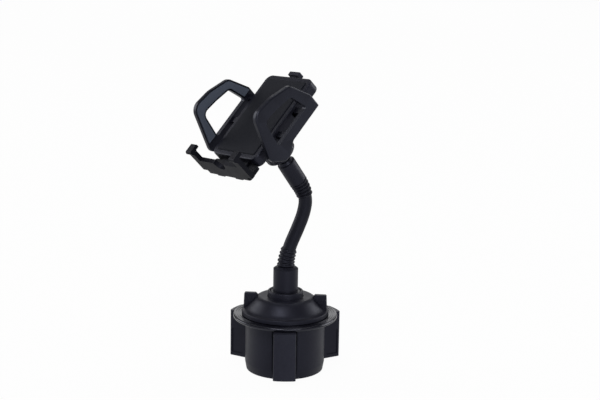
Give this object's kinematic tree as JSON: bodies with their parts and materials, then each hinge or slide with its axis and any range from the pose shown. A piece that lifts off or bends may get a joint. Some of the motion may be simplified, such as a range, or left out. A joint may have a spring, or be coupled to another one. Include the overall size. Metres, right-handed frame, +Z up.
{
  "type": "cup_holder_phone_mount",
  "caption": "Cup-holder phone mount: expanding cup base with a turn dial, bendable sleeved neck, ball joint and a cradle with sprung side arms and a sliding hooked foot.",
  "frame": {"origin": "centre of the base's foot, on the surface it stands on", "axes": "+Z up along the base's axis; +Y away from the front wing; +X to the right of someone who faces the front wing"},
  "size_m": [0.1249, 0.1258, 0.2481],
  "materials": {
    "case_plastic": "satin, fine-grained charcoal ABS",
    "flange_plastic": "polished charcoal ABS",
    "wing_plastic": "satin charcoal ABS",
    "ball_plastic": "smooth black acetal",
    "gear_plastic": "natural acetal",
    "neck_rubber": "smooth matte rubber",
    "rubber": "matte rubber",
    "arm_rubber": "slate-grey soft rubber",
    "steel": "drawn steel",
    "screw_steel": "zinc-plated steel",
    "spring_steel": "bright spring wire"
  },
  "bodies": {
    "base": {"foot_pad": "rubber", "cup_shell": "case_plastic", "base_flange": "flange_plastic", "flange_screws": "screw_steel", "center_post": "steel", "post_screws": "screw_steel", "thrust_washer": "steel", "stem_collar": "case_plastic", "stem": "case_plastic", "neck_anchor": "neck_rubber", "neck_root_core": "steel", "lower_boot": "neck_rubber"},
    "dial": {"dial_knob": "case_plastic", "scroll_plate": "case_plastic", "spindle_clip": "steel"},
    "wing_1": {"wing_1": "wing_plastic"},
    "wing_2": {"wing_2": "wing_plastic"},
    "wing_3": {"wing_3": "wing_plastic"},
    "neck_link_1": {"neck_sleeve_1": "neck_rubber", "neck_core_1": "steel"},
    "neck_link_2": {"neck_sleeve_2": "neck_rubber", "neck_core_2": "steel"},
    "neck_link_3": {"neck_sleeve_3": "neck_rubber", "neck_core_3": "steel"},
    "neck_link_4": {"neck_sleeve_4": "neck_rubber", "neck_core_4": "steel"},
    "neck_link_5": {"neck_sleeve_5": "neck_rubber", "neck_core_5": "steel"},
    "head": {"upper_tube": "case_plastic", "ball_stud": "ball_plastic", "upper_boot": "neck_rubber"},
    "pitch_carrier": {"friction_pad": "rubber"},
    "yaw_carrier": {"collet": "ball_plastic"},
    "cradle": {"ball_socket": "case_plastic", "socket_screws": "screw_steel", "back_cover": "case_plastic", "front_cover": "case_plastic", "front_pad": "rubber", "case_screws": "screw_steel", "pinion_axle": "steel", "arm_spring_right": "spring_steel", "arm_spring_left": "spring_steel", "release_spring": "spring_steel"},
    "lock_nut": {"lock_nut": "case_plastic"},
    "pinion": {"pinion": "gear_plastic"},
    "arm_right": {"arm_right": "case_plastic", "arm_pad_right": "arm_rubber"},
    "arm_left": {"arm_left": "case_plastic", "arm_pad_left": "arm_rubber"},
    "release_button": {"release_button": "case_plastic"},
    "foot": {"foot_bracket": "case_plastic", "hook_pads": "arm_rubber"}
  },
  "joints": [
    {"name": "dial_turn", "type": "hinge", "parent": "base", "child": "dial", "pos_m": [0, 0, 0.0472], "axis": [0, 0, 1], "range_deg": [0, 132]},
    {"name": "wing_slide_1", "type": "slide", "parent": "base", "child": "wing_1", "axis": [0, 1, 0], "range_m": [0, 0.011]},
    {"name": "wing_slide_2", "type": "slide", "parent": "base", "child": "wing_2", "axis": [-0.866, -0.5, 0], "range_m": [0, 0.011]},
    {"name": "wing_slide_3", "type": "slide", "parent": "base", "child": "wing_3", "axis": [0.866, -0.5, 0], "range_m": [0, 0.011]},
    {"name": "neck_bend_1", "type": "hinge", "parent": "base", "child": "neck_link_1", "pos_m": [0, 0, 0.092], "axis": [0, 1, 0], "range_deg": [-18, 18], "deforming": ["lower_boot"]},
    {"name": "neck_bend_2", "type": "hinge", "parent": "neck_link_1", "child": "neck_link_2", "pos_m": [0.00317, 0, 0.10492], "axis": [1, 0, 0], "range_deg": [-18, 18]},
    {"name": "neck_bend_3", "type": "hinge", "parent": "neck_link_2", "child": "neck_link_3", "pos_m": [0.00887, 0, 0.11847], "axis": [0, -1, 0], "range_deg": [-18, 18]},
    {"name": "neck_bend_4", "type": "hinge", "parent": "neck_link_3", "child": "neck_link_4", "pos_m": [0.01369, 0, 0.1315], "axis": [-1, 0, 0], "range_deg": [-18, 18]},
    {"name": "neck_bend_5", "type": "hinge", "parent": "neck_link_4", "child": "neck_link_5", "pos_m": [0.0156, -0.0003, 0.14304], "axis": [0, 1, 0], "range_deg": [-18, 18]},
    {"name": "neck_bend_6", "type": "hinge", "parent": "neck_link_5", "child": "head", "pos_m": [0.01309, -0.00199, 0.15258], "axis": [1, 0, 0], "range_deg": [-18, 18], "deforming": ["upper_boot"]},
    {"name": "ball_pitch", "type": "hinge", "parent": "head", "child": "pitch_carrier", "pos_m": [-0.00732, -0.0165, 0.18691], "axis": [0.6301, -0.7744, 0.0573], "range_deg": [-30, 24]},
    {"name": "ball_yaw", "type": "hinge", "parent": "pitch_carrier", "child": "yaw_carrier", "pos_m": [-0.00732, -0.0165, 0.18691], "axis": [0.5358, 0.487, 0.6898], "range_deg": [-15, 15]},
    {"name": "ball_roll", "type": "hinge", "parent": "yaw_carrier", "child": "cradle", "pos_m": [-0.00732, -0.0165, 0.18691], "axis": [-0.5621, -0.4039, 0.7218], "continuous": true},
    {"name": "nut_turn", "type": "hinge", "parent": "cradle", "child": "lock_nut", "pos_m": [-0.00732, -0.0165, 0.18691], "axis": [-0.5621, -0.4039, 0.7218], "range_deg": [0, 40]},
    {"name": "arm_slide_right", "type": "slide", "parent": "cradle", "child": "arm_right", "axis": [0.6301, -0.7744, 0.0573], "range_m": [-0.0065, 0.01], "deforming": ["arm_spring_right", "arm_spring_left"]},
    {"name": "arm_slide_left", "type": "slide", "parent": "cradle", "child": "arm_left", "axis": [-0.6301, 0.7744, -0.0573], "range_m": [-0.0065, 0.01]},
    {"name": "pinion_spin", "type": "hinge", "parent": "cradle", "child": "pinion", "pos_m": [-0.02423, -0.02738, 0.22585], "axis": [-0.5621, -0.4039, 0.7218], "range_deg": [-125, 82]},
    {"name": "button_press", "type": "slide", "parent": "cradle", "child": "release_button", "axis": [-0.5358, -0.487, -0.6898], "range_m": [0, 0.002], "stiffness_N_per_m": 250, "springref_m": -0.002, "deforming": ["release_spring"]},
    {"name": "foot_slide", "type": "slide", "parent": "cradle", "child": "foot", "axis": [-0.5358, -0.487, -0.6898], "range_m": [0, 0.012]}
  ],
  "couplings": [
    {"joint": "wing_slide_1", "follows": "dial_turn", "m_per_rad": 0.0047746},
    {"joint": "wing_slide_2", "follows": "dial_turn", "m_per_rad": 0.0047746},
    {"joint": "wing_slide_3", "follows": "dial_turn", "m_per_rad": 0.0047746},
    {"joint": "arm_slide_left", "follows": "arm_slide_right", "ratio": 1},
    {"joint": "pinion_spin", "follows": "arm_slide_right", "rad_per_m": -208.33}
  ]
}
